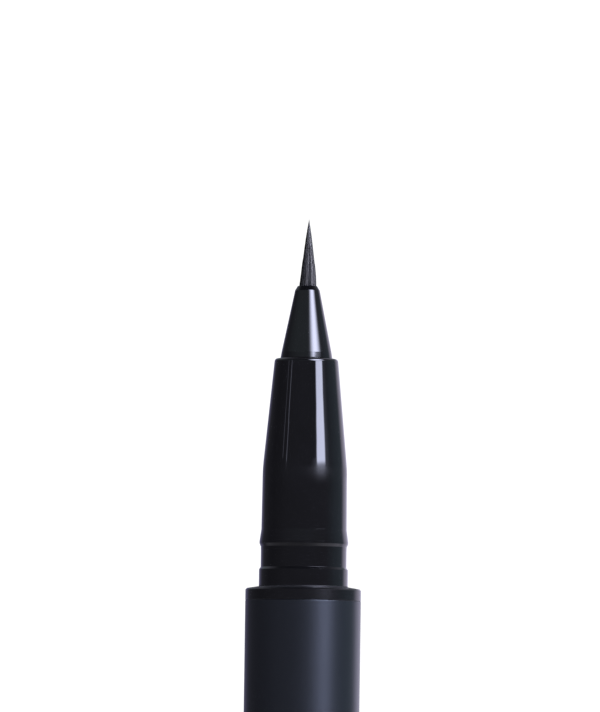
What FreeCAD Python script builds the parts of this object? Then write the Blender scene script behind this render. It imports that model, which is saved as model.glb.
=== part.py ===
"""Brush pen for liquid ink, standing upright on its posted cap.

Millimetres, +Z along the pen from the closed end of the cap to the point of the brush.
The origin is the centre of the cap's flat end, which is what the pen stands on.

Heights are counted from three stations:
  tail station   underside of the tail plug's flange, where the posted cap's mouth comes to rest
  mouth station  front face of the barrel, where the front section's collar sits
  cap station    mouth of the cap; the cap's pieces are drawn as depth below that mouth
"""
import FreeCAD, Part
import os
import re
import Sketcher

DIMENSIONS = {
    # barrel, from the top of the tail plug's flange
    "barrel_radius": 5.57,
    "barrel_length": 85.2,
    "barrel_bore": 4.75,
    "barrel_edge_round": 0.15,
    "snap_depth": 6.0,
    "snap_half_width": 0.4,
    "snap_groove_radius": 4.95,
    # tail plug, from the tail station
    "tail_height": 41.5,
    "spigot_length": 11.5,
    "spigot_radius": 4.14,
    "spigot_round": 0.6,
    "tail_bore": 3.4,
    "tail_floor": 1.2,
    "tail_flange_radius": 5.52,
    "tail_flange_thickness": 0.8,
    "inner_plug_radius": 4.72,
    "inner_plug_top": 5.0,
    # ink tank and mixing balls, from the tank's floor
    "tank_radius": 4.6,
    "tank_bore": 4.1,
    "tank_length": 71.5,
    "tank_floor": 1.0,
    "tank_round": 0.6,
    "ball_radius": 1.95,
    "ball_offset": 2.05,
    "ball_clearance": 0.1,
    # front section, from the mouth station
    "section_plug_length": 9.0,
    "section_bead_radius": 4.88,
    "section_bore": 3.25,
    "section_bore_top": 12.0,
    "nozzle_seat_bottom": 19.0,
    "nozzle_seat_bore": 1.9,
    "collar_radius": 5.57,
    "collar_height": 1.19,
    "collar_round": 0.22,
    "collar_lower_round": 0.08,
    "step_radius": 4.285,
    "step_bottom": 1.455,
    "step_top": 2.98,
    "neck_radius": 4.13,
    "neck_bottom": 3.18,
    "neck_top": 4.72,
    "rib_radius": 4.275,
    "rib_height": 5.68,
    "rib_top": 7.1,
    "rib_lower_curve": 3.5,
    "rib_upper_curve": 19.0,
    "grip_lower_radius": 4.11,
    "grip_upper_radius": 4.06,
    "grip_top": 12.8,
    "nose_radius": 3.045,
    "section_length": 23.35,
    "nose_round": 0.32,
    # nozzle, from the mouth station
    "shank_radius": 1.87,
    "shank_bottom": 17.0,
    "nozzle_bore": 1.25,
    "land_radius": 2.51,
    "land_top_radius": 2.42,
    "land_top": 23.95,
    "cone_top_radius": 1.19,
    "cone_top": 29.93,
    "lip_radius": 0.94,
    "mouth_radius": 0.87,
    "mouth_height": 30.35,
    "throat_bottom": 28.0,
    "throat_top": 29.0,
    # brush, its root and the pieces that hold it, from the mouth station
    "brush_pivot": 30.4,
    "brush_radius": 0.74,
    "brush_point": 36.8,
    "belly_radius": 0.41,
    "belly_height": 33.4,
    "root_bottom": 21.2,
    "root_flange_radius": 1.2,
    "root_flange_top": 22.0,
    "root_radius": 0.82,
    "root_top": 29.5,
    "ferrule_bore": 0.84,
    "ferrule_top": 25.0,
    "crimp_bottom": 23.2,
    "crimp_top": 23.8,
    "crimp_radius": 1.05,
    "holder_radius": 1.22,
    "holder_bottom": 17.5,
    # collector and relay core, from the mouth station
    "core_radius": 0.6,
    "core_bore": 0.65,
    "tube_bottom": 14.0,
    "tube_radius": 1.2,
    "spine_radius": 1.5,
    "spine_top": 12.0,
    "collector_nose_radius": 1.6,
    "collector_nose_top": 16.8,
    "fin_radius": 3.2,
    "fin_thickness": 0.3,
    "fin_pitch": 0.75,
    "fin_count": 26,
    "first_fin": 7.25,
    "rear_flange": 1.0,
    "ink_slit_width": 0.3,
    "ink_slit_floor": 1.0,
    "air_notch_width": 0.9,
    "air_notch_floor": 2.4,
    "slit_overrun": 0.5,
    # bung and seal ring that close the tank, from the mouth station
    "bung_flange": 0.5,
    "bung_radius": 4.05,
    "bung_bore": 1.25,
    "bung_length": 4.0,
    "ring_height": 11.5,
    "ring_groove_radius": 3.4,
    "ring_groove_half": 0.4,
    "ring_centre_radius": 3.75,
    "ring_wire_radius": 0.33,
    # seal ring on the front section's plug, from the mouth station
    "section_ring_height": 3.0,
    "section_groove_radius": 4.1,
    "section_ring_centre": 4.42,
    "section_ring_wire": 0.31,
    # cap, as depth from its mouth
    "cap_gap": 0.05,
    "cap_radius": 5.77,
    "cap_bore": 4.36,
    "cap_mouth_round": 0.15,
    "bead_radius": 4.19,
    "bead_start": 1.8,
    "bead_full": 2.1,
    "bead_end": 3.1,
    "bead_stop": 3.5,
    "ledge_depth": 19.5,
    "ledge_thickness": 1.0,
    "ledge_bore": 3.35,
    "rear_bore": 3.85,
    "crown_thickness": 1.6,
    "crown_plug_length": 2.0,
    "crown_plug_radius": 3.82,
    "spring_seat_radius": 2.95,
    "spring_seat_step": 0.6,
    "crown_round": 0.4,
    # inner cap, as depth from the cap's mouth
    "inner_flange_radius": 3.75,
    "inner_flange_end": 21.9,
    "inner_mouth_bore": 3.3,
    "inner_mouth_end": 21.2,
    "inner_seat_end": 21.7,
    "inner_bore": 2.6,
    "inner_body_radius": 3.2,
    "inner_body_end": 29.4,
    "inner_neck_start": 28.3,
    "inner_neck_end": 28.9,
    "sheath_bore": 1.4,
    "sheath_bore_end": 36.6,
    "sheath_radius": 1.95,
    "sheath_end": 37.3,
    # spring behind the inner cap
    "coil_radius": 2.35,
    "wire_radius": 0.175,
    "coil_turns": 7,
}

TAIL_STATION = "tail_height"
BARREL_STATION = "tail_height + tail_flange_thickness"
MOUTH_STATION = "tail_height + tail_flange_thickness + barrel_length"
TANK_STATION = "tail_height + inner_plug_top"
CAP_LENGTH = "tail_height - cap_gap"

UPRIGHT = FreeCAD.Rotation()
MOUTH_UP = FreeCAD.Rotation(FreeCAD.Vector(1, 0, 0), 180)

document = FreeCAD.newDocument("BrushPen")
nodes = []


def make_sheet():
    """Put the driving dimensions in a spreadsheet, one aliased cell each."""
    sheet = document.addObject("Spreadsheet::Sheet", "Sizes")
    for row, (name, value) in enumerate(DIMENSIONS.items(), start=1):
        sheet.set(f"A{row}", name)
        sheet.set(f"B{row}", str(value))
        sheet.setAlias(f"B{row}", name)
    document.recompute()
    return sheet


def bound(formula):
    """Turn 'step_top + cap_gap' into 'Sizes.step_top + Sizes.cap_gap'."""
    return re.sub(r"[a-z_]+", lambda word: "Sizes." + word.group(0), formula)


def value_of(formula):
    """Number that a formula of sheet names gives now."""
    return float(sizes.evalExpression(bound(formula)))


def stand(piece, station, rotation=UPRIGHT):
    """Set a node's place: its zero height is at the station."""
    piece.Placement = FreeCAD.Placement(FreeCAD.Vector(0, 0, 0), rotation)
    piece.setExpression("Placement.Base.z", bound(station))


def new_body(label, station, rotation=UPRIGHT):
    body = document.addObject("PartDesign::Body", label)
    body.Label = label
    stand(body, station, rotation)
    nodes.append(body)
    return body


def new_sketch(body, name, plane_role):
    """Sketch on one of the body's own origin planes."""
    sketch = body.newObject("Sketcher::SketchObject", name)
    plane = next(item for item in body.Origin.OriginFeatures if item.Role == plane_role)
    sketch.AttachmentSupport = [(plane, "")]
    sketch.MapMode = "FlatFace"
    return sketch


def dimension(sketch, kind, formula, *place):
    """Dimensional constraint whose value follows the sheet."""
    index = sketch.addConstraint(Sketcher.Constraint(kind, *place, value_of(formula)))
    sketch.setExpression(f"Constraints[{index}]", bound(formula))


def place_point(sketch, geometry, end, radius, height):
    """Fix a sketch point by its two coordinates; '0' puts it on the axis itself."""
    for kind, formula, axis in (("DistanceX", radius, -2), ("DistanceY", height, -1)):
        if formula == "0":
            sketch.addConstraint(Sketcher.Constraint("PointOnObject", geometry, end, axis))
        else:
            dimension(sketch, kind, formula, geometry, end)


def arc_edge(start, end, curve):
    """Arc between two points; a positive radius bulges away from the pen's axis."""
    chord = end - start
    across = FreeCAD.Vector(abs(chord.y), -chord.x * (1 if chord.y > 0 else -1), 0)
    across.normalize()
    half = chord.Length / 2
    rise = abs(curve) - (curve * curve - half * half) ** 0.5
    middle = (start + end) * 0.5 + across * (rise if curve > 0 else -rise)
    return Part.ArcOfCircle(start, middle, end)


def draw_outline(sketch, outline):
    """Closed outline of (radius, height[, arc radius]) corners, each the end of its edge."""
    corners = [FreeCAD.Vector(value_of(c[0]), value_of(c[1]), 0) for c in outline]
    ends = []
    for number, corner in enumerate(outline):
        start = corners[number - 1]
        end = corners[number]
        if len(corner) == 2:
            edge = sketch.addGeometry(Part.LineSegment(start, end), False)
            ends.append((edge, 1, 2))
            continue
        formula = corner[2]
        edge = sketch.addGeometry(arc_edge(start, end, value_of(formula)), False)
        forward = (sketch.getPoint(edge, 1) - start).Length < (sketch.getPoint(edge, 2) - start).Length
        ends.append((edge, 1, 2) if forward else (edge, 2, 1))
        dimension(sketch, "Radius", formula.lstrip("-"), edge)
    for number, (edge, first, last) in enumerate(ends):
        previous, _, previous_last = ends[number - 1]
        sketch.addConstraint(Sketcher.Constraint("Coincident", previous, previous_last, edge, first))
        place_point(sketch, edge, last, outline[number][0], outline[number][1])


def turned(label, outline, station, rotation=UPRIGHT):
    """Body of revolution about the pen's axis."""
    body = new_body(label, station, rotation)
    sketch = new_sketch(body, label + "_outline", "XZ_Plane")
    draw_outline(sketch, outline)
    turn = body.newObject("PartDesign::Revolution", label + "_turn")
    turn.Profile = sketch
    turn.ReferenceAxis = (sketch, ["V_Axis"])
    turn.Angle = 360
    document.recompute()
    return body


def cut_groove(body, name, outline):
    """Turn a ring of material away and check that it went."""
    before = body.Shape.Volume
    sketch = new_sketch(body, name + "_outline", "XZ_Plane")
    draw_outline(sketch, outline)
    groove = body.newObject("PartDesign::Groove", name)
    groove.Profile = sketch
    groove.ReferenceAxis = (sketch, ["V_Axis"])
    groove.Angle = 360
    document.recompute()
    if body.Shape.Volume >= before:
        raise RuntimeError(name + " cut nothing")


def round_rings(body, name, size, rings):
    """Fillet the circular edges of the given radius and height."""
    shape = body.Tip.Shape
    wanted = [(value_of(radius), value_of(height)) for radius, height in rings]
    found = []
    for number, edge in enumerate(shape.Edges, start=1):
        curve = edge.Curve
        if not isinstance(curve, Part.Circle):
            continue
        for radius, height in wanted:
            if abs(curve.Radius - radius) < 1e-4 and abs(curve.Center.z - height) < 1e-4:
                found.append(f"Edge{number}")
    if len(found) != len(wanted):
        raise RuntimeError(f"{name}: {len(found)} of {len(wanted)} edges found")
    base = body.Tip
    fillet = body.newObject("PartDesign::Fillet", name)
    fillet.Base = (base, found)
    fillet.setExpression("Radius", bound(size))
    document.recompute()


def cut_ring_groove(body, name, floor_radius, outer_radius, height):
    """Square groove that a seal ring lies in."""
    lower = height + " - ring_groove_half"
    upper = height + " + ring_groove_half"
    cut_groove(body, name, [
        (floor_radius, lower),
        (outer_radius, lower),
        (outer_radius, upper),
        (floor_radius, upper),
    ])


def make_seal_ring(label, height, centre_radius, wire_radius):
    """Rubber ring of round section."""
    ring = document.addObject("Part::Torus", label)
    ring.setExpression("Radius1", bound(centre_radius))
    ring.setExpression("Radius2", bound(wire_radius))
    stand(ring, MOUTH_STATION + height)
    nodes.append(ring)


def make_barrel():
    """Plain tube; a shallow groove near the mouth takes the front section's snap bead."""
    barrel = turned("barrel", [
        ("barrel_bore", "0"),
        ("barrel_radius", "0"),
        ("barrel_radius", "barrel_length"),
        ("barrel_bore", "barrel_length"),
    ], BARREL_STATION)
    cut_groove(barrel, "barrel_snap_groove", [
        ("inner_plug_radius", "barrel_length - snap_depth - snap_half_width"),
        ("snap_groove_radius", "barrel_length - snap_depth - snap_half_width"),
        ("snap_groove_radius", "barrel_length - snap_depth + snap_half_width"),
        ("inner_plug_radius", "barrel_length - snap_depth + snap_half_width"),
    ])
    round_rings(barrel, "barrel_edges", "barrel_edge_round", [
        ("barrel_radius", "0"),
        ("barrel_radius", "barrel_length"),
    ])


def make_front_section():
    """Collar, cap seat, neck, snap rib, grip and tapering nose in one moulding."""
    section = turned("front_section", [
        ("section_bore", "-section_plug_length"),
        ("inner_plug_radius", "-section_plug_length"),
        ("inner_plug_radius", "-snap_depth - snap_half_width / 2"),
        ("section_bead_radius", "-snap_depth"),
        ("inner_plug_radius", "-snap_depth + snap_half_width / 2"),
        ("inner_plug_radius", "0"),
        ("collar_radius", "0"),
        ("collar_radius", "collar_height"),
        ("step_radius", "step_bottom"),
        ("step_radius", "step_top"),
        ("neck_radius", "neck_bottom"),
        ("neck_radius", "neck_top"),
        ("rib_radius", "rib_height", "-rib_lower_curve"),
        ("grip_lower_radius", "rib_top", "-rib_upper_curve"),
        ("grip_upper_radius", "grip_top"),
        ("nose_radius", "section_length"),
        ("nozzle_seat_bore", "section_length"),
        ("nozzle_seat_bore", "nozzle_seat_bottom"),
        ("section_bore", "section_bore_top"),
    ], MOUTH_STATION)
    cut_ring_groove(section, "section_seal_groove", "section_groove_radius", "inner_plug_radius",
                    "-section_ring_height")
    make_seal_ring("section_seal_ring", " - section_ring_height",
                   "section_ring_centre", "section_ring_wire")
    round_rings(section, "collar_edge", "collar_round", [("collar_radius", "collar_height")])
    round_rings(section, "collar_lower_edge", "collar_lower_round", [("collar_radius", "0")])
    round_rings(section, "nose_edge", "nose_round", [("nose_radius", "section_length")])


def make_nozzle():
    """Cone that guides the brush, with a shank pressed into the nose."""
    turned("tip_nozzle", [
        ("nozzle_bore", "shank_bottom"),
        ("shank_radius", "shank_bottom"),
        ("shank_radius", "section_length"),
        ("land_radius", "section_length"),
        ("land_top_radius", "land_top"),
        ("cone_top_radius", "cone_top"),
        ("lip_radius", "mouth_height"),
        ("mouth_radius", "mouth_height"),
        ("mouth_radius", "throat_top"),
        ("nozzle_bore", "throat_bottom"),
    ], MOUTH_STATION)


def make_brush():
    """Brush with a ball-shaped foot on its bending centre, and the potted root below it."""
    turned("brush_tip", [
        ("0", "brush_pivot - brush_radius"),
        ("brush_radius", "brush_pivot", "brush_radius"),
        ("belly_radius", "belly_height"),
        ("0", "brush_point"),
    ], MOUTH_STATION)
    turned("brush_root", [
        ("0", "root_bottom"),
        ("root_flange_radius", "root_bottom"),
        ("root_flange_radius", "root_flange_top"),
        ("root_radius", "root_flange_top"),
        ("root_radius", "root_top"),
        ("0", "root_top"),
    ], MOUTH_STATION)
    turned("brush_ferrule", [
        ("ferrule_bore", "root_flange_top"),
        ("root_flange_radius", "root_flange_top"),
        ("root_flange_radius", "crimp_bottom"),
        ("crimp_radius", "(crimp_bottom + crimp_top) / 2"),
        ("root_flange_radius", "crimp_top"),
        ("root_flange_radius", "ferrule_top"),
        ("ferrule_bore", "ferrule_top"),
    ], MOUTH_STATION)
    turned("brush_holder", [
        ("core_bore", "holder_bottom"),
        ("holder_radius", "holder_bottom"),
        ("holder_radius", "root_bottom"),
        ("core_bore", "root_bottom"),
    ], MOUTH_STATION)


def pad_fins(collector):
    """One thin disc, repeated along the collector's spine."""
    sketch = new_sketch(collector, "fin_outline", "XY_Plane")
    sketch.setExpression("AttachmentOffset.Base.z", bound("-first_fin"))
    for radius in ("fin_radius", "core_bore"):
        circle = sketch.addGeometry(Part.Circle(), False)
        sketch.addConstraint(Sketcher.Constraint("Coincident", circle, 3, -1, 1))
        dimension(sketch, "Radius", radius, circle)
    fin = collector.newObject("PartDesign::Pad", "fin")
    fin.Profile = sketch
    fin.setExpression("Length", bound("fin_thickness"))
    document.recompute()
    fins = collector.newObject("PartDesign::LinearPattern", "fins")
    fins.Originals = [fin]
    fins.Direction = (sketch, ["N_Axis"])
    fins.setExpression("Length", bound("fin_pitch * (fin_count - 1)"))
    fins.setExpression("Occurrences", bound("fin_count"))
    collector.Tip = fins
    document.recompute()


def cut_slit(collector, name, width, near, far):
    """Straight slit through every fin, from one distance off the axis to another along Y."""
    before = collector.Shape.Volume
    sketch = new_sketch(collector, name + "_outline", "XY_Plane")
    sketch.setExpression("AttachmentOffset.Base.z", bound("-first_fin"))
    half = width + " / 2"
    corners = [("-" + half, near), (half, near), (half, far), ("-" + half, far)]
    draw_outline(sketch, corners)
    slit = collector.newObject("PartDesign::Pocket", name)
    slit.Profile = sketch
    slit.Reversed = True
    slit.setExpression("Length", bound("fin_pitch * fin_count"))
    document.recompute()
    if collector.Shape.Volume >= before:
        raise RuntimeError(name + " cut nothing")


def make_collector():
    """Finned collector with its tail tube, fed through a narrow slit and vented by a wide one."""
    collector = turned("collector", [
        ("core_bore", "-tube_bottom"),
        ("tube_radius", "-tube_bottom"),
        ("tube_radius", "-section_plug_length"),
        ("fin_radius", "-section_plug_length"),
        ("fin_radius", "-section_plug_length + rear_flange"),
        ("spine_radius", "-section_plug_length + rear_flange"),
        ("spine_radius", "spine_top"),
        ("collector_nose_radius", "spine_top"),
        ("collector_nose_radius", "collector_nose_top"),
        ("core_bore", "collector_nose_top"),
    ], MOUTH_STATION)
    pad_fins(collector)
    cut_slit(collector, "ink_slit", "ink_slit_width", "ink_slit_floor", "fin_radius + slit_overrun")
    cut_slit(collector, "air_notch", "air_notch_width", "-fin_radius - slit_overrun", "-air_notch_floor")


def make_relay_core():
    """Fibre rod that carries the ink from the tank to the brush."""
    core = document.addObject("Part::Cylinder", "relay_core")
    core.setExpression("Radius", bound("core_radius"))
    core.setExpression("Height", bound("tube_bottom + root_bottom"))
    stand(core, MOUTH_STATION + " - tube_bottom")
    nodes.append(core)


def make_tank():
    """Ink tank with its closed floor down, its bung and the ring that seals the bung."""
    tank = turned("ink_tank", [
        ("0", "0"),
        ("tank_radius", "0"),
        ("tank_radius", "tank_length"),
        ("tank_bore", "tank_length"),
        ("tank_bore", "tank_floor"),
        ("0", "tank_floor"),
    ], TANK_STATION)
    round_rings(tank, "tank_edge", "tank_round", [("tank_radius", "0")])
    bung_top = "-section_plug_length"
    flange_bottom = bung_top + " - bung_flange"
    bung = turned("tank_bung", [
        ("bung_bore", flange_bottom + " - bung_length"),
        ("bung_radius", flange_bottom + " - bung_length"),
        ("bung_radius", flange_bottom),
        ("tank_radius", flange_bottom),
        ("tank_radius", bung_top),
        ("bung_bore", bung_top),
    ], MOUTH_STATION)
    cut_ring_groove(bung, "bung_seal_groove", "ring_groove_radius", "tank_bore", "-ring_height")
    make_seal_ring("tank_seal_ring", " - ring_height", "ring_centre_radius", "ring_wire_radius")


def make_mixing_balls():
    """Two steel balls, side by side on the tank's floor, each on its own straight path."""
    for number, side in ((1, "-"), (2, "")):
        ball = document.addObject("Part::Sphere", f"mixing_ball_{number}")
        ball.setExpression("Radius", bound("ball_radius"))
        stand(ball, TANK_STATION + " + tank_floor + ball_clearance + ball_radius")
        ball.setExpression("Placement.Base.x", bound(side + "ball_offset"))
        nodes.append(ball)


def make_tail_plug():
    """Stopper with a spigot that takes the posted cap, cored out from inside."""
    plug = turned("tail_plug", [
        ("0", "-spigot_length"),
        ("spigot_radius", "-spigot_length"),
        ("spigot_radius", "0"),
        ("tail_flange_radius", "0"),
        ("tail_flange_radius", "tail_flange_thickness"),
        ("inner_plug_radius", "tail_flange_thickness"),
        ("inner_plug_radius", "inner_plug_top"),
        ("tail_bore", "inner_plug_top"),
        ("tail_bore", "-spigot_length + tail_floor"),
        ("0", "-spigot_length + tail_floor"),
    ], TAIL_STATION)
    round_rings(plug, "spigot_end", "spigot_round", [("spigot_radius", "-spigot_length")])


def make_cap():
    """Cap tube with a snap bead and a ledge that stops the inner cap, closed by its crown."""
    shell_end = CAP_LENGTH + " - crown_thickness"
    shell = turned("cap_shell", [
        ("cap_bore", "0"),
        ("cap_radius", "0"),
        ("cap_radius", shell_end),
        ("rear_bore", shell_end),
        ("rear_bore", "ledge_depth + ledge_thickness"),
        ("ledge_bore", "ledge_depth + ledge_thickness"),
        ("ledge_bore", "ledge_depth"),
        ("cap_bore", "ledge_depth"),
        ("cap_bore", "bead_stop"),
        ("bead_radius", "bead_end"),
        ("bead_radius", "bead_full"),
        ("cap_bore", "bead_start"),
    ], CAP_LENGTH, MOUTH_UP)
    round_rings(shell, "cap_mouth_edge", "cap_mouth_round", [("cap_radius", "0")])
    crown = turned("cap_crown", [
        ("0", shell_end + " - spring_seat_step"),
        ("spring_seat_radius", shell_end + " - spring_seat_step"),
        ("spring_seat_radius", shell_end + " - crown_plug_length"),
        ("crown_plug_radius", shell_end + " - crown_plug_length"),
        ("crown_plug_radius", shell_end),
        ("cap_radius", shell_end),
        ("cap_radius", CAP_LENGTH),
        ("0", CAP_LENGTH),
    ], CAP_LENGTH, MOUTH_UP)
    round_rings(crown, "crown_edge", "crown_round", [("cap_radius", CAP_LENGTH)])


def make_inner_cap():
    """Sprung inner cap: a mouth that seals on the nose, and a sheath for the brush."""
    turned("inner_cap", [
        ("inner_mouth_bore", "ledge_depth + ledge_thickness + cap_gap"),
        ("inner_flange_radius", "ledge_depth + ledge_thickness + cap_gap"),
        ("inner_flange_radius", "inner_flange_end"),
        ("inner_body_radius", "inner_flange_end"),
        ("inner_body_radius", "inner_body_end"),
        ("sheath_radius", "inner_body_end"),
        ("sheath_radius", "sheath_end"),
        ("0", "sheath_end"),
        ("0", "sheath_bore_end"),
        ("sheath_bore", "sheath_bore_end"),
        ("sheath_bore", "inner_neck_end"),
        ("inner_bore", "inner_neck_start"),
        ("inner_bore", "inner_seat_end"),
        ("inner_mouth_bore", "inner_mouth_end"),
    ], CAP_LENGTH, MOUTH_UP)


def make_spring():
    """Round-wire compression spring between the inner cap's shoulder and the crown's seat."""
    spring = new_body("inner_cap_spring", CAP_LENGTH, MOUTH_UP)
    sketch = new_sketch(spring, "wire_outline", "XZ_Plane")
    wire = sketch.addGeometry(Part.Circle(FreeCAD.Vector(1, 1, 0), FreeCAD.Vector(0, 0, 1), 1), False)
    dimension(sketch, "Radius", "wire_radius", wire)
    place_point(sketch, wire, 3, "coil_radius", "inner_body_end + cap_gap + wire_radius")
    coil = spring.newObject("PartDesign::AdditiveHelix", "coil")
    coil.Profile = sketch
    coil.ReferenceAxis = (sketch, ["V_Axis"])
    coil.Mode = "height-turns-angle"
    seat = CAP_LENGTH + " - crown_thickness - spring_seat_step"
    coil.setExpression("Height", bound(seat + " - inner_body_end - 2 * cap_gap - 2 * wire_radius"))
    coil.setExpression("Turns", bound("coil_turns"))


def check_document():
    """Stop if any object failed or any node isn't one valid solid."""
    for item in document.Objects:
        if "Invalid" in item.State or "Error" in item.State:
            raise RuntimeError(f"{item.Label}: {item.State}")
    for node in nodes:
        if node.Shape.isNull() or not node.Shape.isValid() or len(node.Shape.Solids) != 1:
            raise RuntimeError(f"{node.Label} isn't one valid solid")


def write_parts():
    os.makedirs("parts", exist_ok=True)
    for node in nodes:
        node.Shape.exportStep(f"parts/{node.Label}.step")


sizes = make_sheet()
make_barrel()
make_front_section()
make_nozzle()
make_brush()
make_collector()
make_relay_core()
make_tank()
make_mixing_balls()
make_tail_plug()
make_cap()
make_inner_cap()
make_spring()
document.recompute()
check_document()
write_parts()
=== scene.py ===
"""Brush pen standing on its posted cap, in a white studio.

Metres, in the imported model's frame: +Z along the pen, origin under the cap.
Outer mouldings are turned here with many more facets and real edge rounding,
the brush is a bundle of single bristles, and the spring is wound again. The other
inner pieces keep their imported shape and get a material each.
"""
import math
import random

import bmesh
import bpy
from mathutils import Matrix, Vector


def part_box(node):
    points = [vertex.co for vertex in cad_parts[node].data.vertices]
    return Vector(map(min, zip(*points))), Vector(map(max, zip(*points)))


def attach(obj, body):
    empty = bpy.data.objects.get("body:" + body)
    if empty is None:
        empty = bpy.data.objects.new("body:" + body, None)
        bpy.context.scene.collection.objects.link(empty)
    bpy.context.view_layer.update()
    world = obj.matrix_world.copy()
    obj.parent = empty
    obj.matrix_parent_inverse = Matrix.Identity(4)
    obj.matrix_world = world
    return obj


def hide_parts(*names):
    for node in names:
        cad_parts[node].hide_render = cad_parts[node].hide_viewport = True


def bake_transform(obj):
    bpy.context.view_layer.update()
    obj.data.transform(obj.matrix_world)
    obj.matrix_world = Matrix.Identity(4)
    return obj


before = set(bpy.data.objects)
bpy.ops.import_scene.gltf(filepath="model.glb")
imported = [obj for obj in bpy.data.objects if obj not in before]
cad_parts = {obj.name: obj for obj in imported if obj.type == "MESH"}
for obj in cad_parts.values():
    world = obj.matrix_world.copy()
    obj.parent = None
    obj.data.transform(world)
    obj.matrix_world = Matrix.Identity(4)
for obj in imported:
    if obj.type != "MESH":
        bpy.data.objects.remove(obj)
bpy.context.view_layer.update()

MM = 0.001
FACETS = 192
ARC_STEPS = 7
EDGE_ROUND = 0.02 * MM
SUPPORT = 0.03 * MM

# Stations, read from the frame.
BARREL_FOOT, BARREL_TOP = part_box("barrel")
SECTION_FOOT, SECTION_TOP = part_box("front_section")
NOZZLE_FOOT, NOZZLE_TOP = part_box("tip_nozzle")
BRUSH_FOOT, BRUSH_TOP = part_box("brush_tip")
PLUG_FOOT, PLUG_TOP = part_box("tail_plug")
SHELL_FOOT, SHELL_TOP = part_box("cap_shell")
CROWN_FOOT, CROWN_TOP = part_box("cap_crown")
SPRING_FOOT, SPRING_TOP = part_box("inner_cap_spring")
MOUTH = BARREL_TOP.z
NOZZLE_SEAT = SECTION_TOP.z
TAIL = SHELL_TOP.z + 0.05 * MM


# ---------------------------------------------------------------- geometry

def rounded(outline):
    """Closed outline of (radius, height[, rounding]) corners, as points with arcs at the corners.

    Every straight run gets a support point beside each end, so smooth shading stays flat on it."""
    corners = [Vector((c[0], c[1])) for c in outline]
    points = []
    for number, corner in enumerate(outline):
        here = corners[number]
        before = corners[number - 1]
        after = corners[(number + 1) % len(corners)]
        if here.x == 0:
            points.append(here)
            continue
        way_in = (before - here).normalized()
        way_out = (after - here).normalized()
        radius = corner[2] if len(corner) == 3 else EDGE_ROUND
        half_turn = (math.pi - way_in.angle(way_out)) / 2
        cut = radius * math.tan(half_turn)
        centre = here + (way_in + way_out).normalized() * (radius / math.cos(half_turn))
        start = here + way_in * cut
        end = here + way_out * cut
        points.append(start + way_in * SUPPORT)
        first = start - centre
        sweep = first.angle_signed(end - centre)
        for step in range(ARC_STEPS + 1):
            turn = Matrix.Rotation(-sweep * step / ARC_STEPS, 2)
            points.append(centre + turn @ first)
        points.append(end + way_out * SUPPORT)
    return points


def lathe(name, outline):
    """Closed solid of revolution about the pen's axis."""
    mesh = bmesh.new()
    rings = []
    for point in rounded(outline):
        if point.x == 0:
            rings.append([mesh.verts.new((0, 0, point.y))])
            continue
        ring = []
        for facet in range(FACETS):
            angle = 2 * math.pi * facet / FACETS
            ring.append(mesh.verts.new((point.x * math.cos(angle), point.x * math.sin(angle), point.y)))
        rings.append(ring)
    for number, lower in enumerate(rings):
        upper = rings[(number + 1) % len(rings)]
        if len(lower) == 1 and len(upper) == 1:
            continue
        for facet in range(FACETS):
            after = (facet + 1) % FACETS
            if len(lower) == 1:
                mesh.faces.new((lower[0], upper[after], upper[facet]))
            elif len(upper) == 1:
                mesh.faces.new((lower[facet], lower[after], upper[0]))
            else:
                mesh.faces.new((lower[facet], lower[after], upper[after], upper[facet]))
    return finish_mesh(name, mesh)


def close_tube(mesh, rings):
    """Skin through a row of equal rings of vertices, with a face over each end."""
    for lower, upper in zip(rings, rings[1:]):
        for side in range(len(lower)):
            after = (side + 1) % len(lower)
            mesh.faces.new((lower[side], lower[after], upper[after], upper[side]))
    mesh.faces.new(rings[0])
    mesh.faces.new(rings[-1])


def add_object(name, data):
    """Object in the scene for a mesh, a lamp or a camera."""
    item = bpy.data.objects.new(name, data)
    bpy.context.scene.collection.objects.link(item)
    return item


def mesh_object(name, mesh):
    """Object in the scene for a bmesh, which is used up."""
    data = bpy.data.meshes.new(name)
    mesh.to_mesh(data)
    mesh.free()
    return add_object(name, data)


def finish_mesh(name, mesh):
    """Object with smooth faces that all look outwards."""
    bmesh.ops.recalc_face_normals(mesh, faces=mesh.faces)
    for face in mesh.faces:
        face.smooth = True
    return mesh_object(name, mesh)


def moulding(name, outline, body, node, material):
    """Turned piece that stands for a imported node."""
    piece = lathe(name, outline)
    piece.data.materials.append(material)
    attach(piece, body)
    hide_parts(node)
    return piece


# ---------------------------------------------------------------- materials

# Texture densities in features per metre; three numbers are per axis.
CLOUD_DENSITY = 350.0
WAVE_DENSITY = (700, 700, 220)
METAL_LINE_DENSITY = 300
FIBRE_DENSITY = (14000, 14000, 500)
BRISTLE_DENSITY = (9000, 9000, 700)


def new_material(name):
    """Material with its Principled shader and an object-space coordinate node."""
    material = bpy.data.materials.new(name)
    material.use_nodes = True
    nodes = material.node_tree.nodes
    shader = nodes["Principled BSDF"]
    place = nodes.new("ShaderNodeTexCoord")
    return material, shader, place.outputs["Object"]


def stretched(material, place, scale):
    """Coordinates scaled per axis, in features per metre."""
    mapping = material.node_tree.nodes.new("ShaderNodeMapping")
    mapping.inputs["Scale"].default_value = scale
    material.node_tree.links.new(place, mapping.inputs["Vector"])
    return mapping.outputs["Vector"]


def noise(material, vector, scale, detail=3.0, roughness=0.5):
    texture = material.node_tree.nodes.new("ShaderNodeTexNoise")
    texture.inputs["Scale"].default_value = scale
    texture.inputs["Detail"].default_value = detail
    texture.inputs["Roughness"].default_value = roughness
    material.node_tree.links.new(vector, texture.inputs["Vector"])
    return texture.outputs["Fac"]


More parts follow.
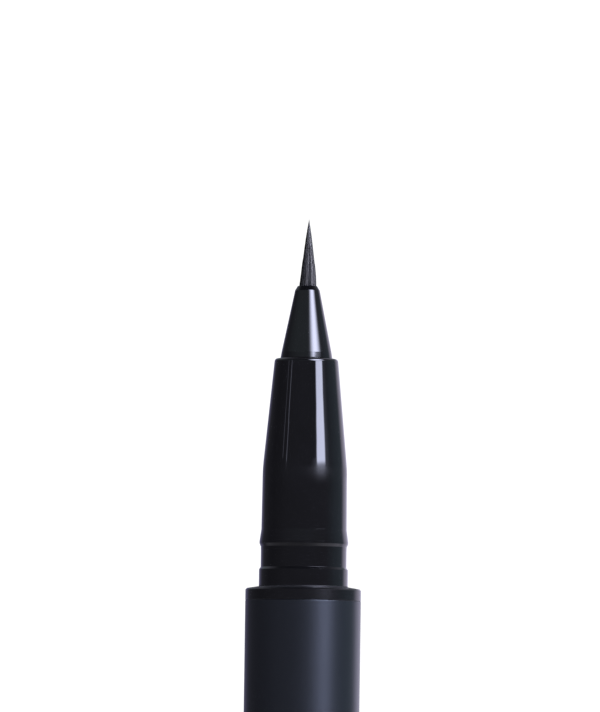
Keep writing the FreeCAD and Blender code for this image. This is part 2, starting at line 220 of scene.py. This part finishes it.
def ramp(material, factor, stops):
    """Colour ramp of (position, colour) stops."""
    node = material.node_tree.nodes.new("ShaderNodeValToRGB")
    elements = node.color_ramp.elements
    while len(elements) < len(stops):
        elements.new(0.5)
    for element, (position, colour) in zip(elements, stops):
        element.position = position
        element.color = (*colour, 1)
    material.node_tree.links.new(factor, node.inputs["Fac"])
    return node.outputs["Color"]


def between(material, factor, low, high):
    """Number that runs from low to high with the factor."""
    node = material.node_tree.nodes.new("ShaderNodeMapRange")
    node.inputs["To Min"].default_value = low
    node.inputs["To Max"].default_value = high
    material.node_tree.links.new(factor, node.inputs["Value"])
    return node.outputs["Result"]


def fade(material, value, start, stop):
    """0 before start and 1 after stop, with a smooth step between them."""
    node = material.node_tree.nodes.new("ShaderNodeMapRange")
    node.interpolation_type = "SMOOTHSTEP"
    node.inputs["From Min"].default_value = start
    node.inputs["From Max"].default_value = stop
    material.node_tree.links.new(value, node.inputs["Value"])
    return node.outputs["Result"]


def calculated(material, operation, *terms):
    """Result of one Math node; each term is a socket or a plain number."""
    node = material.node_tree.nodes.new("ShaderNodeMath")
    node.operation = operation
    for socket, term in zip(node.inputs, terms):
        if isinstance(term, float):
            socket.default_value = term
        else:
            material.node_tree.links.new(term, socket)
    return node.outputs["Value"]


def product(material, *factors):
    """Factors multiplied together; each is a socket or a plain number."""
    total = factors[0]
    for factor in factors[1:]:
        total = calculated(material, "MULTIPLY", total, factor)
    return total


def axes_of(material, kind):
    """X, Y and Z outputs of the texture coordinates of one kind."""
    place = material.node_tree.nodes.new("ShaderNodeTexCoord")
    axes = material.node_tree.nodes.new("ShaderNodeSeparateXYZ")
    material.node_tree.links.new(place.outputs[kind], axes.inputs["Vector"])
    return axes.outputs


def blended(material, factor, colour, other):
    """The first colour where the factor is 0, the other one (a socket or plain numbers) where it is 1."""
    node = material.node_tree.nodes.new("ShaderNodeMix")
    node.data_type = "RGBA"
    if isinstance(other, tuple):
        node.inputs["B"].default_value = (*other, 1)
    else:
        material.node_tree.links.new(other, node.inputs["B"])
    material.node_tree.links.new(factor, node.inputs["Factor"])
    material.node_tree.links.new(colour, node.inputs["A"])
    return node.outputs["Result"]


def bump(material, height, distance, strength=1.0, normal=None):
    """Bump of the given height in metres, on top of another bump if there is one."""
    node = material.node_tree.nodes.new("ShaderNodeBump")
    node.inputs["Distance"].default_value = distance
    node.inputs["Strength"].default_value = strength
    material.node_tree.links.new(height, node.inputs["Height"])
    if normal is not None:
        material.node_tree.links.new(normal, node.inputs["Normal"])
    return node.outputs["Normal"]


def plastic(name, dark, light, grain, roughness, waves=0.0, texture=0.0, ior=1.5, tint=(1, 1, 1)):
    """Moulded plastic: clouded colour, uneven gloss, slow waves along the piece and a fine grain."""
    material, shader, place = new_material(name)
    link = material.node_tree.links.new
    clouds = noise(material, place, CLOUD_DENSITY)
    fine = noise(material, place, grain, detail=4.0)
    link(ramp(material, clouds, [(0.3, dark), (0.7, light)]), shader.inputs["Base Color"])
    link(between(material, fine, *roughness), shader.inputs["Roughness"])
    shader.inputs["IOR"].default_value = ior
    shader.inputs["Specular Tint"].default_value = (*tint, 1)
    slow = noise(material, stretched(material, place, WAVE_DENSITY), 1.0, detail=1.0)
    normal = bump(material, slow, waves)
    normal = bump(material, fine, texture, normal=normal)
    link(normal, shader.inputs["Normal"])
    return material


def metal(name, colour, roughness, grain):
    """Drawn or ground metal with fine lines round the piece."""
    material, shader, place = new_material(name)
    link = material.node_tree.links.new
    density = (METAL_LINE_DENSITY, METAL_LINE_DENSITY, grain)
    lines = noise(material, stretched(material, place, density), 1.0, detail=5.0)
    shade = tuple(channel * 0.8 for channel in colour)
    link(ramp(material, lines, [(0.35, shade), (0.65, colour)]), shader.inputs["Base Color"])
    link(between(material, lines, *roughness), shader.inputs["Roughness"])
    shader.inputs["Metallic"].default_value = 1.0
    link(bump(material, lines, 0.002 * MM), shader.inputs["Normal"])
    return material


def fibre(name, dark, light, roughness):
    """Bonded or bundled fibres: streaks along the piece."""
    material, shader, place = new_material(name)
    link = material.node_tree.links.new
    streaks = noise(material, stretched(material, place, FIBRE_DENSITY), 1.0, detail=3.0)
    link(ramp(material, streaks, [(0.35, dark), (0.65, light)]), shader.inputs["Base Color"])
    link(between(material, streaks, *roughness), shader.inputs["Roughness"])
    link(bump(material, streaks, 0.01 * MM), shader.inputs["Normal"])
    return material


def bristle_material():
    """Satin bristle: each one has its own tone, lighter and greyer where it is dry."""
    material, shader, place = new_material("bristle")
    link = material.node_tree.links.new
    tone = material.node_tree.nodes.new("ShaderNodeAttribute")
    tone.attribute_name = "tone"
    streaks = noise(material, stretched(material, place, BRISTLE_DENSITY), 1.0, detail=2.0)
    streak_share = 0.35
    mixed = calculated(material, "MULTIPLY_ADD", streaks, streak_share, tone.outputs["Fac"])
    colours = [(0.15, (0.008, 0.008, 0.008)), (0.5, (0.024, 0.023, 0.022)),
               (0.8, (0.080, 0.076, 0.072)), (1.0, (0.180, 0.173, 0.165))]
    link(ramp(material, mixed, colours), shader.inputs["Base Color"])
    link(between(material, streaks, 0.38, 0.52), shader.inputs["Roughness"])
    shader.inputs["Anisotropic"].default_value = 0.5
    shader.inputs["IOR"].default_value = 1.36
    link(bump(material, streaks, 0.004 * MM), shader.inputs["Normal"])
    return material


def gloss_plastic(name):
    return plastic(name, (0.0012, 0.0012, 0.0014), (0.0020, 0.0020, 0.0024),
                   5000.0, (0.02, 0.045), waves=0.010 * MM, texture=0.0002 * MM)


def change_roughness_below(material, height, blend, extra):
    """Adds extra to the roughness of all that lies under a height, with a soft edge above it."""
    rough = material.node_tree.nodes["Principled BSDF"].inputs["Roughness"]
    under = fade(material, axes_of(material, "Object")["Z"], height + blend, height)
    total = calculated(material, "MULTIPLY_ADD", under, extra, rough.links[0].from_socket)
    material.node_tree.links.new(total, rough)


GLOSS_BLACK = gloss_plastic("gloss_black_plastic")
SOFT_BLACK = plastic("soft_black_coating", (0.0009, 0.0010, 0.0012), (0.0015, 0.0016, 0.0019),
                     18000.0, (0.30, 0.34), waves=0.004 * MM, texture=0.0006 * MM,
                     ior=1.72, tint=(0.80, 0.88, 1.0))


# ---------------------------------------------------------------- outer mouldings

def make_barrel():
    """Plain tube with a soft edge at the tail and a sharper one at the mouth."""
    outer = BARREL_TOP.x
    bore = 4.75 * MM
    moulding("barrel_tube", [
        (bore, BARREL_FOOT.z),
        (outer, BARREL_FOOT.z, 0.12 * MM),
        (outer, BARREL_TOP.z, 0.035 * MM),
        (bore, BARREL_TOP.z),
    ], "pen", "barrel", SOFT_BLACK)


def make_front_section():
    """Collar, cap step, neck, snap rib, nearly straight grip, long taper and rounded nose."""
    plug = 4.72 * MM
    bore = 3.25 * MM
    seat = 1.9 * MM
    shoulder = 5.44 * MM
    step = 4.285 * MM
    neck = 4.13 * MM
    neck_top = 4.145 * MM
    rib = 4.275 * MM
    grip_foot = 4.111 * MM
    grip_top = 4.06 * MM
    grip_curve = 20.0 * MM
    nose = 3.045 * MM
    # Satin band round the grip's top, then the collar's dull shoulder and its satin side.
    satin = [
        (12.6 * MM, 0.8 * MM, 0.19),
        (10.6 * MM, 1.8 * MM, -0.19),
        (1.42 * MM, 0.03 * MM, 0.48),
        (1.185 * MM, 0.01 * MM, -0.31),
    ]
    material = gloss_plastic("front_black_plastic")
    for height, blend, extra in satin:
        change_roughness_below(material, MOUTH + height, blend, extra)
    moulding("front_moulding", [
        (bore, SECTION_FOOT.z),
        (plug, SECTION_FOOT.z, 0.2 * MM),
        (plug, MOUTH),
        (SECTION_TOP.x, MOUTH, 0.08 * MM),
        (SECTION_TOP.x, MOUTH + 1.02 * MM, 0.004 * MM),
        (shoulder, MOUTH + 1.18 * MM),
        (step, MOUTH + 1.37 * MM),
        (step, MOUTH + 3.00 * MM, 0.004 * MM),
        (neck, MOUTH + 3.22 * MM),
        (neck, MOUTH + 4.75 * MM, 0.3 * MM),
        (neck_top, MOUTH + 5.20 * MM, 0.05 * MM),
        (rib, MOUTH + 5.50 * MM, 0.03 * MM),
        (rib, MOUTH + 5.69 * MM, 0.03 * MM),
        (grip_foot, MOUTH + 6.86 * MM, 0.05 * MM),
        (grip_top, MOUTH + 12.80 * MM, grip_curve),
        (nose, NOZZLE_SEAT, 0.32 * MM),
        (seat, NOZZLE_SEAT),
        (seat, NOZZLE_SEAT - 4.45 * MM),
        (bore, MOUTH + 12.0 * MM),
    ], "pen", "front_section", material)


def make_nozzle():
    """Cone with a short land at its foot and a bevelled mouth."""
    shank = 1.87 * MM
    bore = 1.25 * MM
    land_top = 2.41 * MM
    cone_top = 1.19 * MM
    lip = 0.94 * MM
    throat = 0.87 * MM
    moulding("nozzle_cone", [
        (bore, NOZZLE_FOOT.z),
        (shank, NOZZLE_FOOT.z),
        (shank, NOZZLE_SEAT),
        (NOZZLE_TOP.x, NOZZLE_SEAT, 0.05 * MM),
        (land_top, NOZZLE_SEAT + 0.6 * MM, 0.3 * MM),
        (cone_top, NOZZLE_TOP.z - 0.42 * MM, 0.15 * MM),
        (lip, NOZZLE_TOP.z),
        (throat, NOZZLE_TOP.z),
        (throat, NOZZLE_TOP.z - 1.35 * MM),
        (bore, NOZZLE_TOP.z - 2.35 * MM),
    ], "pen", "tip_nozzle", GLOSS_BLACK)


def make_tail_plug():
    """Flange against the barrel's tail and the spigot inside the posted cap."""
    spigot = 4.14 * MM
    inner = 4.72 * MM
    bore = 3.4 * MM
    floor = PLUG_FOOT.z + 1.2 * MM
    flange_top = BARREL_FOOT.z
    moulding("tail_stopper", [
        (0, PLUG_FOOT.z),
        (spigot, PLUG_FOOT.z, 0.6 * MM),
        (spigot, TAIL, 0.05 * MM),
        (PLUG_TOP.x, TAIL, 0.08 * MM),
        (PLUG_TOP.x, flange_top, 0.08 * MM),
        (inner, flange_top),
        (inner, PLUG_TOP.z, 0.2 * MM),
        (bore, PLUG_TOP.z),
        (bore, floor, 0.4 * MM),
        (0, floor),
    ], "pen", "tail_plug", GLOSS_BLACK)


def make_cap():
    """Cap tube with its snap bead and ledge, and the crown that closes it."""
    outer = SHELL_TOP.x
    mouth = SHELL_TOP.z
    bore = 4.36 * MM
    bead = 4.19 * MM
    ledge = 3.35 * MM
    ledge_top = mouth - 19.5 * MM
    ledge_bottom = mouth - 20.5 * MM
    rear = 3.85 * MM
    moulding("cap_tube", [
        (bore, mouth, 0.1 * MM),
        (outer, mouth, 0.18 * MM),
        (outer, SHELL_FOOT.z, 0.06 * MM),
        (rear, SHELL_FOOT.z),
        (rear, ledge_bottom),
        (ledge, ledge_bottom),
        (ledge, ledge_top),
        (bore, ledge_top),
        (bore, mouth - 3.5 * MM, 0.2 * MM),
        (bead, mouth - 3.1 * MM, 0.2 * MM),
        (bead, mouth - 2.1 * MM, 0.2 * MM),
        (bore, mouth - 1.8 * MM, 0.2 * MM),
    ], "cap", "cap_shell", SOFT_BLACK)
    joint = SHELL_FOOT.z
    plug = 3.82 * MM
    seat = 2.95 * MM
    seat_floor = joint + 0.6 * MM
    moulding("cap_end", [
        (0, seat_floor),
        (seat, seat_floor),
        (seat, CROWN_TOP.z),
        (plug, CROWN_TOP.z, 0.15 * MM),
        (plug, joint),
        (CROWN_TOP.x, joint, 0.06 * MM),
        (CROWN_TOP.x, CROWN_FOOT.z, 0.4 * MM),
        (0, CROWN_FOOT.z),
    ], "cap", "cap_crown", GLOSS_BLACK)


def make_spring():
    """Wire spring that shortens between the crown and the inner cap."""
    turns = 7
    steps = 48
    sides = 12
    wire = 0.175 * MM
    coil = 2.35 * MM
    low = SPRING_FOOT.z + wire
    high = SPRING_TOP.z - wire
    mesh = bmesh.new()
    rings = []
    for number in range(turns * steps + 1):
        angle = 2 * math.pi * number / steps
        height = low + (high - low) * number / (turns * steps)
        ring = []
        for side in range(sides):
            around = 2 * math.pi * side / sides
            reach = coil + wire * math.cos(around)
            ring.append(mesh.verts.new((reach * math.cos(angle), reach * math.sin(angle),
                                        height + wire * math.sin(around))))
        rings.append(ring)
    close_tube(mesh, rings)
    spring = finish_mesh("coil_spring", mesh)
    spring.data.materials.append(metal("spring_wire", (0.50, 0.50, 0.52), (0.22, 0.38), 5000.0))
    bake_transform(spring)
    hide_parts("inner_cap_spring")


# ---------------------------------------------------------------- brush

# Shares run from 0 at the nozzle's mouth to 1 at the point; they are below 0 inside the nozzle.
BRISTLES = 240
BRISTLE_SIDES = 6
BRISTLE_RINGS = 22
BRISTLE_THICKNESS_MM = (0.042, 0.054)
FOOT_GAP = 0.1 * MM
BRISTLE_DRIFT = 0.006 * MM
BRISTLE_WAVES = 7
# The longest bristles make the point, each a little shorter than the one before.
LONGEST = 34
LONGEST_STEP = 0.007
LONGEST_SHARE = 0.9
SHORTEST_SHARE = 0.12
# Share over which a bristle narrows to its end, and how blunt that end is.
TAPER_SHARE = 0.07
LONGEST_TAPER_SHARE = 0.035
END_BLUNTNESS = 0.12
TAPER_POWER = 0.6
# Neighbouring bristles make locks of one tone, with some spread between single bristles.
LOCKS = 16
LOCK_TONES = (0.0, 0.8)
TONE_SPREAD = 0.05
# Whole bundle.
BRUSH_RADIUS = 0.84 * MM
PROFILE_POWER = 0.9
PROFILE_BULGE = 1.2
BRUSH_LEAN = Vector((0.070 * MM, 0.005 * MM))
LEAN_AT_MOUTH = 0.35
LEAN_GROWTH = 4.0


def brush_radius(share):
    """Radius of the whole brush at a share of the way from the mouth to the point."""
    return BRUSH_RADIUS * (1 - max(share, 0.0) ** PROFILE_BULGE) ** PROFILE_POWER


def brush_centre(share):
    """The bundle sits a little to one side of the nozzle's axis."""
    return BRUSH_LEAN * min(1.0, LEAN_AT_MOUTH + LEAN_GROWTH * max(share, 0.0))


def add_bristle(mesh, tone_layer, place, angle, end, tone, chance):
    """One tapered bristle, from inside the nozzle to its own end."""
    thick = chance.uniform(*BRISTLE_THICKNESS_MM) * MM
    sway = chance.uniform(0, 2 * math.pi)
    start = (BRUSH_FOOT.z + FOOT_GAP - NOZZLE_TOP.z) / (BRUSH_TOP.z - NOZZLE_TOP.z)
    taper = TAPER_SHARE if end < LONGEST_SHARE else LONGEST_TAPER_SHARE
    rings = []
    for step in range(BRISTLE_RINGS):
        along = step / (BRISTLE_RINGS - 1)
        share = start + (end - start) * along
        left = end - share
        radius = thick * min(1.0, (left / taper + END_BLUNTNESS) ** TAPER_POWER)
        room = max(brush_radius(share) - radius, 0.0)
        drift = BRISTLE_DRIFT * math.sin(sway + BRISTLE_WAVES * share)
        outward = Vector((math.cos(angle), math.sin(angle)))
        centre = brush_centre(share) + outward * (place * room + drift)
        height = NOZZLE_TOP.z + share * (BRUSH_TOP.z - NOZZLE_TOP.z)
        ring = []
        for side in range(BRISTLE_SIDES):
            turn = 2 * math.pi * side / BRISTLE_SIDES + sway
            vertex = mesh.verts.new((centre.x + radius * math.cos(turn),
                                     centre.y + radius * math.sin(turn), height))
            vertex[tone_layer] = tone
            ring.append(vertex)
        rings.append(ring)
    close_tube(mesh, rings)


def make_brush():
    """Bundle of single bristles that narrows because they end one after another."""
    chance = random.Random(3716)
    mesh = bmesh.new()
    tone_layer = mesh.verts.layers.float.new("tone")
    golden = math.pi * (3 - math.sqrt(5))
    locks = [chance.uniform(*LOCK_TONES) for lock in range(LOCKS)]
    for number in range(BRISTLES):
        place = math.sqrt((number + 0.5) / BRISTLES)
        angle = golden * number
        end = (1 - chance.random() ** (1 / (2 * PROFILE_POWER))) ** (1 / PROFILE_BULGE)
        if number < LONGEST:
            end = 1.0 - LONGEST_STEP * number
            place = math.sqrt(chance.random())
        lock = int(angle % (2 * math.pi) / (2 * math.pi) * LOCKS)
        tone = min(1.0, max(0.0, locks[lock] + chance.gauss(0, TONE_SPREAD)))
        add_bristle(mesh, tone_layer, place, angle, max(end, SHORTEST_SHARE), tone, chance)
    brush = finish_mesh("brush_bristles", mesh)
    brush.data.materials.append(bristle_material())
    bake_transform(brush)
    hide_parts("brush_tip")


# ---------------------------------------------------------------- inner pieces

def finish_inner_pieces():
    """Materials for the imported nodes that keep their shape."""
    white = plastic("natural_plastic", (0.62, 0.62, 0.60), (0.74, 0.74, 0.71),
                    6000.0, (0.35, 0.5), waves=0.004 * MM, texture=0.002 * MM)
    grey = plastic("collector_plastic", (0.16, 0.17, 0.18), (0.24, 0.25, 0.26),
                   7000.0, (0.4, 0.55), waves=0.003 * MM, texture=0.002 * MM)
    milky = plastic("tank_plastic", (0.66, 0.69, 0.70), (0.78, 0.80, 0.80),
                    4000.0, (0.25, 0.38), waves=0.006 * MM, texture=0.001 * MM)
    rubber = plastic("seal_rubber", (0.010, 0.010, 0.010), (0.022, 0.022, 0.021),
                     8000.0, (0.55, 0.75), texture=0.003 * MM)
    steel = metal("ground_steel", (0.62, 0.62, 0.64), (0.12, 0.22), 900.0)
    ferrule = metal("crimped_ring", (0.78, 0.78, 0.79), (0.2, 0.35), 9000.0)
    core = fibre("core_fibre", (0.40, 0.40, 0.38), (0.66, 0.66, 0.63), (0.7, 0.9))
    root = fibre("root_fibre", (0.008, 0.008, 0.010), (0.035, 0.035, 0.042), (0.45, 0.6))
    choices = {
        "inner_cap": white,
        "brush_holder": white,
        "tank_bung": white,
        "collector": grey,
        "ink_tank": milky,
        "tank_seal_ring": rubber,
        "section_seal_ring": rubber,
        "mixing_ball_1": steel,
        "mixing_ball_2": steel,
        "brush_ferrule": ferrule,
        "relay_core": core,
        "brush_root": root,
    }
    for node, material in choices.items():
        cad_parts[node].material_slots[0].material = material


# ---------------------------------------------------------------- studio

KEY_COLOUR = (0.73, 0.76, 1.0)
LIGHT_DISTANCE = 1.5
FLOOR_SOLID = 0.05
FLOOR_RADIUS = 0.42
FLOOR_FACETS = 96

# Name, azimuth, lower and upper elevation, width, soft edges (sides, bottom, top), radiance.
# Angles are in degrees, seen from the nozzle's foot.
SOFTBOXES = [
    ("lower_softbox", 46.0, 9.2, 13.8, 23.5, (5.0, 4.0, 1.0), 16.5),
    ("upper_softbox", 43.5, 20.3, 55.0, 32.0, (28.0, 1.6, 6.0), 24.5),
    ("lower_glow", 46.0, 6.5, 12.5, 38.0, (24.0, 5.0, 2.0), 1.2),
    ("upper_glow", 43.5, 23.0, 45.0, 54.0, (24.0, 4.0, 6.0), 1.2),
    ("edge_strip", -53.7, 9.5, 13.4, 1.4, (0.8, 2.0, 0.6), 2.6),
    ("upper_strip", -54.0, 20.5, 22.9, 2.2, (1.6, 0.6, 0.4), 1.6),
    ("thin_strip", -66.0, 10.6, 12.3, 1.0, (0.8, 0.8, 0.5), 1.6),
]

# Colours of the surroundings by azimuth in degrees: 0 in front of the pen, 90 at its right.
WHITE = (1.04, 0.99, 1.27)
DIM = (0.19, 0.19, 0.235)
DARK = (0.11, 0.11, 0.14)
REAR_EDGE = (0.26, 0.25, 0.42)
RIGHT_SIDE = (0.25, 0.31, 0.38)
WALLS = [(-180, REAR_EDGE), (-158, REAR_EDGE), (-135, DARK), (-100, DARK), (-50, DIM), (60, DIM),
         (90, RIGHT_SIDE), (121, RIGHT_SIDE), (134, WHITE)]
TABLE = [(-180, (0.45, 0.45, 0.54)), (-90, (0.36, 0.36, 0.42)), (0, (0.32, 0.32, 0.37)),
         (30, (0.48, 0.48, 0.56)), (60, (0.83, 0.83, 0.95)), (98, (1.0, 1.0, 1.2)),
         (180, (0.9, 0.9, 1.1))]
CEILING = [(-180, (0.70, 0.70, 0.84)), (-140, (0.45, 0.45, 0.54)), (-100, (0.10, 0.10, 0.12)),
           (-65, (0.07, 0.07, 0.09)), (60, (0.07, 0.07, 0.09)), (90, (0.14, 0.14, 0.17)),
           (180, (0.70, 0.70, 0.84))]
UPPER_WALL = (0.31, 0.36, 0.40)
# Where each zone takes over from the walls, as heights on a sphere of radius 1.
UPPER_WALL_EDGE = (0.24, 0.42)
CEILING_EDGE = (0.46, 0.60)
TABLE_EDGE = (-0.30, -0.44)


def make_floor():
    """Pale table top under the pen that fades into the white surroundings.

    It rides on the cap, which stands on it, so a pulled cap stays on the table."""
    mesh = bmesh.new()
    bmesh.ops.create_circle(mesh, cap_ends=True, segments=FLOOR_FACETS, radius=FLOOR_RADIUS)
    floor = mesh_object("floor", mesh)
    material = plastic("pale_floor", (0.76, 0.74, 0.62), (0.78, 0.76, 0.64), 60.0, (0.6, 0.7))
    nodes = material.node_tree.nodes
    link = material.node_tree.links.new
    place = nodes.new("ShaderNodeTexCoord")
    length = nodes.new("ShaderNodeVectorMath")
    length.operation = "LENGTH"
    link(place.outputs["Object"], length.inputs[0])
    clear = nodes.new("ShaderNodeBsdfTransparent")
    mixed = nodes.new("ShaderNodeMixShader")
    link(fade(material, length.outputs["Value"], FLOOR_SOLID, FLOOR_RADIUS), mixed.inputs["Fac"])
    link(nodes["Principled BSDF"].outputs["BSDF"], mixed.inputs[1])
    link(clear.outputs["BSDF"], mixed.inputs[2])
    link(mixed.outputs["Shader"], nodes["Material Output"].inputs["Surface"])
    floor.data.materials.append(material)
    floor.visible_glossy = False
    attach(floor, "cap")


def direction(azimuth, elevation):
    """Unit vector from the pen: azimuth 0 is towards the camera, 90 to the camera's right."""
    level = math.cos(elevation)
    return Vector((math.sin(azimuth) * level, -math.cos(azimuth) * level, math.sin(elevation)))


def make_softbox(name, azimuth, low, high, width, soft, radiance):
    """Glowing panel that faces the nozzle's foot, with its glow fading out at all four edges."""
    side, bottom, top = (math.tan(math.radians(angle)) * LIGHT_DISTANCE / 2 for angle in soft)
    half_width = math.tan(math.radians(width) / 2) * LIGHT_DISTANCE
    half_height = math.tan(math.radians(high - low) / 2) * LIGHT_DISTANCE
    mesh = bmesh.new()
    corners = [(-half_width - side, -half_height - bottom), (half_width + side, -half_height - bottom),
               (half_width + side, half_height + top), (-half_width - side, half_height + top)]
    mesh.faces.new([mesh.verts.new((x, y, 0)) for x, y in corners])
    panel = mesh_object(name, mesh)
    towards = direction(math.radians(azimuth), math.radians((low + high) / 2))
    panel.location = Vector((0, 0, NOZZLE_SEAT)) + towards * LIGHT_DISTANCE
    panel.rotation_mode = "QUATERNION"
    panel.rotation_quaternion = (-towards).to_track_quat("Z", "Y")
    panel.visible_camera = False
    panel.visible_shadow = False
    material = bpy.data.materials.new(name)
    material.use_nodes = True
    nodes = material.node_tree.nodes
    link = material.node_tree.links.new
    nodes.clear()
    axes = axes_of(material, "Object")
    across = axes["X"]
    upright = axes["Y"]
    shape = product(material,
                    fade(material, across, -half_width - side, side - half_width),
                    fade(material, across, half_width + side, half_width - side),
                    fade(material, upright, -half_height - bottom, bottom - half_height),
                    fade(material, upright, half_height + top, half_height - top),
                    radiance)
    glow = nodes.new("ShaderNodeEmission")
    glow.inputs["Color"].default_value = (*KEY_COLOUR, 1)
    link(shape, glow.inputs["Strength"])
    clear = nodes.new("ShaderNodeBsdfTransparent")
    total = nodes.new("ShaderNodeAddShader")
    link(glow.outputs["Emission"], total.inputs[0])
    link(clear.outputs["BSDF"], total.inputs[1])
    output = nodes.new("ShaderNodeOutputMaterial")
    link(total.outputs["Shader"], output.inputs["Surface"])
    panel.data.materials.append(material)


def make_rear_lamp():
    """Large weak lamp behind and above the pen, for its upper edges."""
    azimuth = math.radians(140)
    elevation = math.radians(50)
    data = bpy.data.lights.new("rear_lamp", "AREA")
    data.shape = "DISK"
    data.size = 0.7
    data.energy = 0.5
    data.color = KEY_COLOUR
    lamp = add_object("rear_lamp", data)
    towards = direction(azimuth, elevation)
    lamp.location = Vector((0, 0, NOZZLE_SEAT)) + towards * LIGHT_DISTANCE
    lamp.rotation_mode = "QUATERNION"
    lamp.rotation_quaternion = towards.to_track_quat("Z", "Y")


def around_pen(world, share, stops):
    """Colours that change with the azimuth; share is 0 at -180 degrees and 1 at 180."""
    return ramp(world, share, [((angle + 180) / 360, colour) for angle, colour in stops])


def make_world():
    """White for the camera; in reflections white behind the pen at the right, and darker elsewhere."""
    world = bpy.data.worlds.new("studio")
    bpy.context.scene.world = world
    world.use_nodes = True
    nodes = world.node_tree.nodes
    link = world.node_tree.links.new
    axes = axes_of(world, "Generated")
    height = axes["Z"]
    forward = calculated(world, "MULTIPLY", axes["Y"], -1.0)
    azimuth = calculated(world, "ARCTAN2", axes["X"], forward)
    turn = nodes.new("ShaderNodeMapRange")
    turn.inputs["From Min"].default_value = -math.pi
    turn.inputs["From Max"].default_value = math.pi
    link(azimuth, turn.inputs["Value"])
    share = turn.outputs["Result"]
    walls = around_pen(world, share, WALLS)
    table = around_pen(world, share, TABLE)
    ceiling = around_pen(world, share, CEILING)
    lifted = blended(world, fade(world, height, *UPPER_WALL_EDGE), walls, UPPER_WALL)
    topped = blended(world, fade(world, height, *CEILING_EDGE), lifted, ceiling)
    whole = blended(world, fade(world, height, *TABLE_EDGE), topped, table)
    background = nodes["Background"]
    link(whole, background.inputs["Color"])
    seen = nodes.new("ShaderNodeBackground")
    seen.inputs["Color"].default_value = (1, 1, 1, 1)
    seen.inputs["Strength"].default_value = 1.1
    rays = nodes.new("ShaderNodeLightPath")
    choice = nodes.new("ShaderNodeMixShader")
    link(rays.outputs["Is Camera Ray"], choice.inputs["Fac"])
    link(background.outputs["Background"], choice.inputs[1])
    link(seen.outputs["Background"], choice.inputs[2])
    link(choice.outputs["Shader"], nodes["World Output"].inputs["Surface"])


def make_camera():
    """Long-lens camera below the middle of the picture, looking up a little and slightly rolled."""
    lens = 600.0
    sensor = 36.0
    seen_height = 68.6 * MM
    distance = seen_height * lens / sensor
    rise = math.radians(2.6)
    tilt = math.radians(0.812)
    aside = -0.630 * MM
    above_mouth = 23.6 * MM
    middle = Vector((aside, 0, MOUTH + above_mouth))
    data = bpy.data.cameras.new("camera")
    data.lens = lens
    data.sensor_width = sensor
    data.clip_start = 0.05
    data.clip_end = 20.0
    camera = add_object("camera", data)
    camera.location = middle - distance * Vector((0, math.cos(rise), math.sin(rise)))
    upward = Matrix.Rotation(math.radians(90) + rise, 4, "X")
    roll = Matrix.Rotation(tilt, 4, "Z")
    camera.rotation_euler = (upward @ roll).to_euler()
    bpy.context.scene.camera = camera


def make_studio():
    """Table, surroundings, lights and camera."""
    bpy.context.scene.view_settings.view_transform = "Standard"
    make_floor()
    make_world()
    for softbox in SOFTBOXES:
        make_softbox(*softbox)
    make_rear_lamp()
    make_camera()


make_barrel()
make_front_section()
make_nozzle()
make_tail_plug()
make_cap()
make_spring()
make_brush()
finish_inner_pieces()
make_studio()
